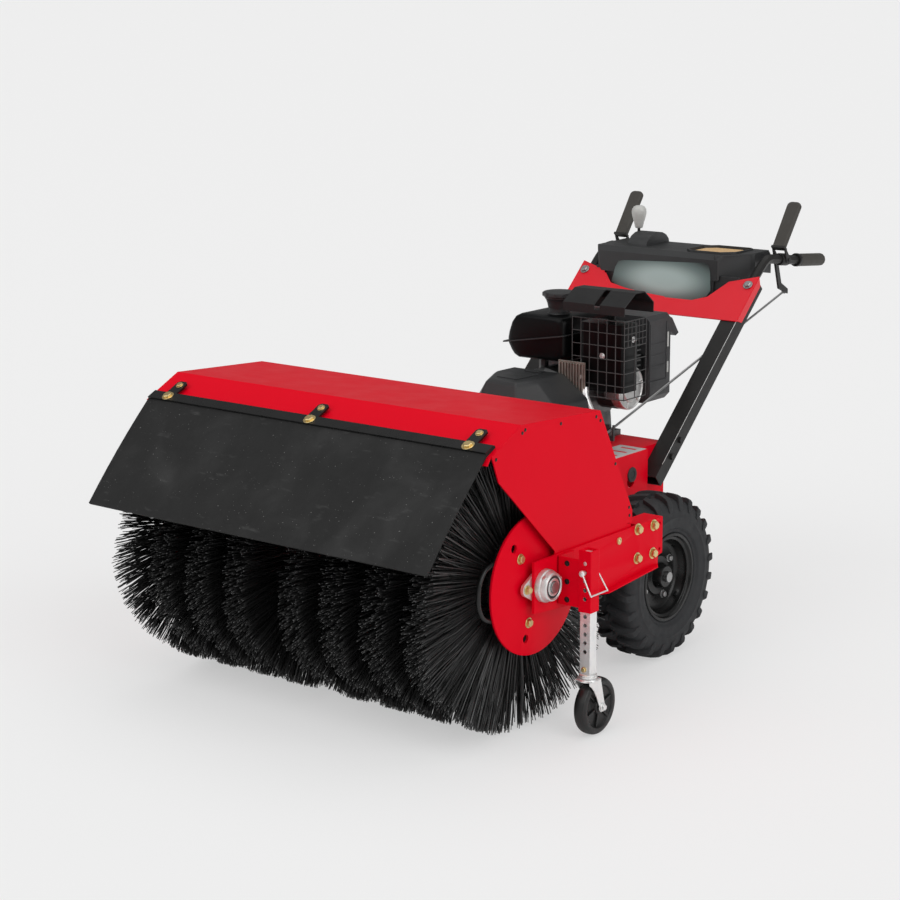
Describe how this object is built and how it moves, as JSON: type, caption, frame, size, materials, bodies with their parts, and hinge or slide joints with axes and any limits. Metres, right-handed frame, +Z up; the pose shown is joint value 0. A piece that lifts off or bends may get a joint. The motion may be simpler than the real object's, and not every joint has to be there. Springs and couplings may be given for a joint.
{
  "type": "walk_behind_rotary_brush",
  "caption": "Walk-behind rotary brush: hooded bristle roller with a rubber flap and casters, turned by an engine on two treaded wheels and steered by handlebars with a console",
  "frame": {"origin": "on the floor, under the middle of the whole machine", "axes": "+X to the machine's left, +Y back to the operator, +Z up"},
  "size_m": [1.213, 2.0216, 1.0097],
  "materials": {
    "red_paint": "gloss",
    "black_paint": "gloss",
    "rubber": "matte",
    "bristle": "satin",
    "zinc": "zinc plated",
    "cast_aluminium": "as cast",
    "black_plastic": "satin",
    "steel": "plain",
    "grey_plastic": "satin"
  },
  "bodies": {
    "chassis": {"axle": "steel", "chassis_frame": "red_paint", "gearbox": "cast_aluminium", "belt_cover": "black_plastic", "engine_block": "cast_aluminium", "fuel_tank": "black_plastic", "muffler": "black_paint", "muffler_guard": "black_paint", "heat_deflector": "black_paint", "blower_housing": "black_plastic", "console_bracket": "red_paint", "console": "black_plastic", "handle_leg_left": "black_paint", "handle_leg_right": "black_paint", "handlebar_left": "black_paint", "handlebar_right": "black_paint", "grip_left": "rubber", "grip_right": "rubber"},
    "broom_head": {"hood_panel": "red_paint", "rubber_flap": "rubber", "flap_strap": "black_paint", "cross_member": "red_paint", "gear_case": "red_paint", "side_plate_left": "red_paint", "side_plate_right": "red_paint", "arm_left": "red_paint", "arm_right": "red_paint", "bearing_left": "zinc", "bearing_right": "zinc", "caster_bracket_left": "red_paint", "caster_bracket_right": "red_paint", "caster_stem_left": "zinc", "caster_stem_right": "zinc"},
    "brush": {"brush_shaft": "steel", "end_disc_left": "red_paint", "end_disc_right": "red_paint", "wafer_left_1": "bristle", "wafer_left_2": "bristle", "wafer_left_3": "bristle", "wafer_left_4": "bristle", "wafer_right_1": "bristle", "wafer_right_2": "bristle", "wafer_right_3": "bristle", "wafer_right_4": "bristle"},
    "wheel_left": {"tyre_left": "rubber", "rim_left": "black_paint"},
    "wheel_right": {"tyre_right": "rubber", "rim_right": "black_paint"},
    "caster_fork_left": {"caster_fork_left": "zinc"},
    "caster_fork_right": {"caster_fork_right": "zinc"},
    "caster_wheel_left": {"caster_wheel_left": "rubber"},
    "caster_wheel_right": {"caster_wheel_right": "rubber"},
    "hitch_pin_left": {"hitch_pin_left": "zinc"},
    "hitch_pin_right": {"hitch_pin_right": "zinc"},
    "hand_lever_left": {"hand_lever_left": "rubber"},
    "hand_lever_right": {"hand_lever_right": "rubber"},
    "control_rod": {"control_rod": "steel"},
    "shift_lever": {"shift_lever": "grey_plastic"},
    "fuel_cap": {"fuel_cap": "black_plastic"},
    "pull_grip": {"pull_grip": "black_plastic"}
  },
  "joints": [
    {"name": "head_angle", "type": "hinge", "parent": "chassis", "child": "broom_head", "pos_m": [0, -0.24517, 0.3654], "axis": [0, 0, 1], "range_deg": [-10, 10]},
    {"name": "brush_spin", "type": "hinge", "parent": "broom_head", "child": "brush", "pos_m": [0, -0.63017, 0.34], "axis": [1, 0, 0], "continuous": true},
    {"name": "wheel_left_spin", "type": "hinge", "parent": "chassis", "child": "wheel_left", "pos_m": [0.3695, -0.00017, 0.19884], "axis": [1, 0, 0], "continuous": true},
    {"name": "wheel_right_spin", "type": "hinge", "parent": "chassis", "child": "wheel_right", "pos_m": [-0.3695, -0.00017, 0.19884], "axis": [1, 0, 0], "continuous": true},
    {"name": "caster_left_swivel", "type": "hinge", "parent": "broom_head", "child": "caster_fork_left", "pos_m": [0.578, -0.56917, 0.1335], "axis": [0, 0, 1], "continuous": true},
    {"name": "caster_right_swivel", "type": "hinge", "parent": "broom_head", "child": "caster_fork_right", "pos_m": [-0.578, -0.56917, 0.1335], "axis": [0, 0, 1], "continuous": true},
    {"name": "caster_left_roll", "type": "hinge", "parent": "caster_fork_left", "child": "caster_wheel_left", "pos_m": [0.578, -0.54267, 0.0635], "axis": [1, 0, 0], "continuous": true},
    {"name": "caster_right_roll", "type": "hinge", "parent": "caster_fork_right", "child": "caster_wheel_right", "pos_m": [-0.578, -0.54267, 0.0635], "axis": [1, 0, 0], "continuous": true},
    {"name": "hitch_bail_left_swing", "type": "hinge", "parent": "broom_head", "child": "hitch_pin_left", "pos_m": [0.578, -0.56917, 0.369], "axis": [0, 1, 0], "range_deg": [-110, 0]},
    {"name": "hitch_bail_right_swing", "type": "hinge", "parent": "broom_head", "child": "hitch_pin_right", "pos_m": [-0.578, -0.56917, 0.369], "axis": [0, 1, 0], "range_deg": [0, 110]},
    {"name": "hand_lever_left_squeeze", "type": "hinge", "parent": "chassis", "child": "hand_lever_left", "pos_m": [0.2498, 0.79838, 0.86205], "axis": [1, 0, 0], "range_deg": [-48, 0], "stiffness_Nm_per_rad": 1.5, "springref_deg": 5.73},
    {"name": "hand_lever_right_squeeze", "type": "hinge", "parent": "chassis", "child": "hand_lever_right", "pos_m": [-0.2498, 0.79838, 0.86205], "axis": [1, 0, 0], "range_deg": [-48, 0], "stiffness_Nm_per_rad": 1.5, "springref_deg": 5.73},
    {"name": "control_rod_pin", "type": "hinge", "parent": "hand_lever_left", "child": "control_rod", "pos_m": [0.2225, 0.86038, 0.76705], "axis": [1, 0, 0], "range_deg": [0, 48]},
    {"name": "shift_lever_swing", "type": "hinge", "parent": "chassis", "child": "shift_lever", "pos_m": [-0.16, 0.73083, 0.855], "axis": [1, 0, 0], "range_deg": [-18, 18]},
    {"name": "fuel_cap_turn", "type": "hinge", "parent": "chassis", "child": "fuel_cap", "pos_m": [0.002, 0.12983, 0.7793], "axis": [0, 0, 1], "range_deg": [0, 90]},
    {"name": "starter_pull", "type": "slide", "parent": "chassis", "child": "pull_grip", "axis": [0, 1, 0], "range_m": [0, 0.08], "stiffness_N_per_m": 30, "springref_m": -0.02}
  ],
  "couplings": [
    {"joint": "control_rod_pin", "follows": "hand_lever_left_squeeze", "ratio": -1}
  ]
}
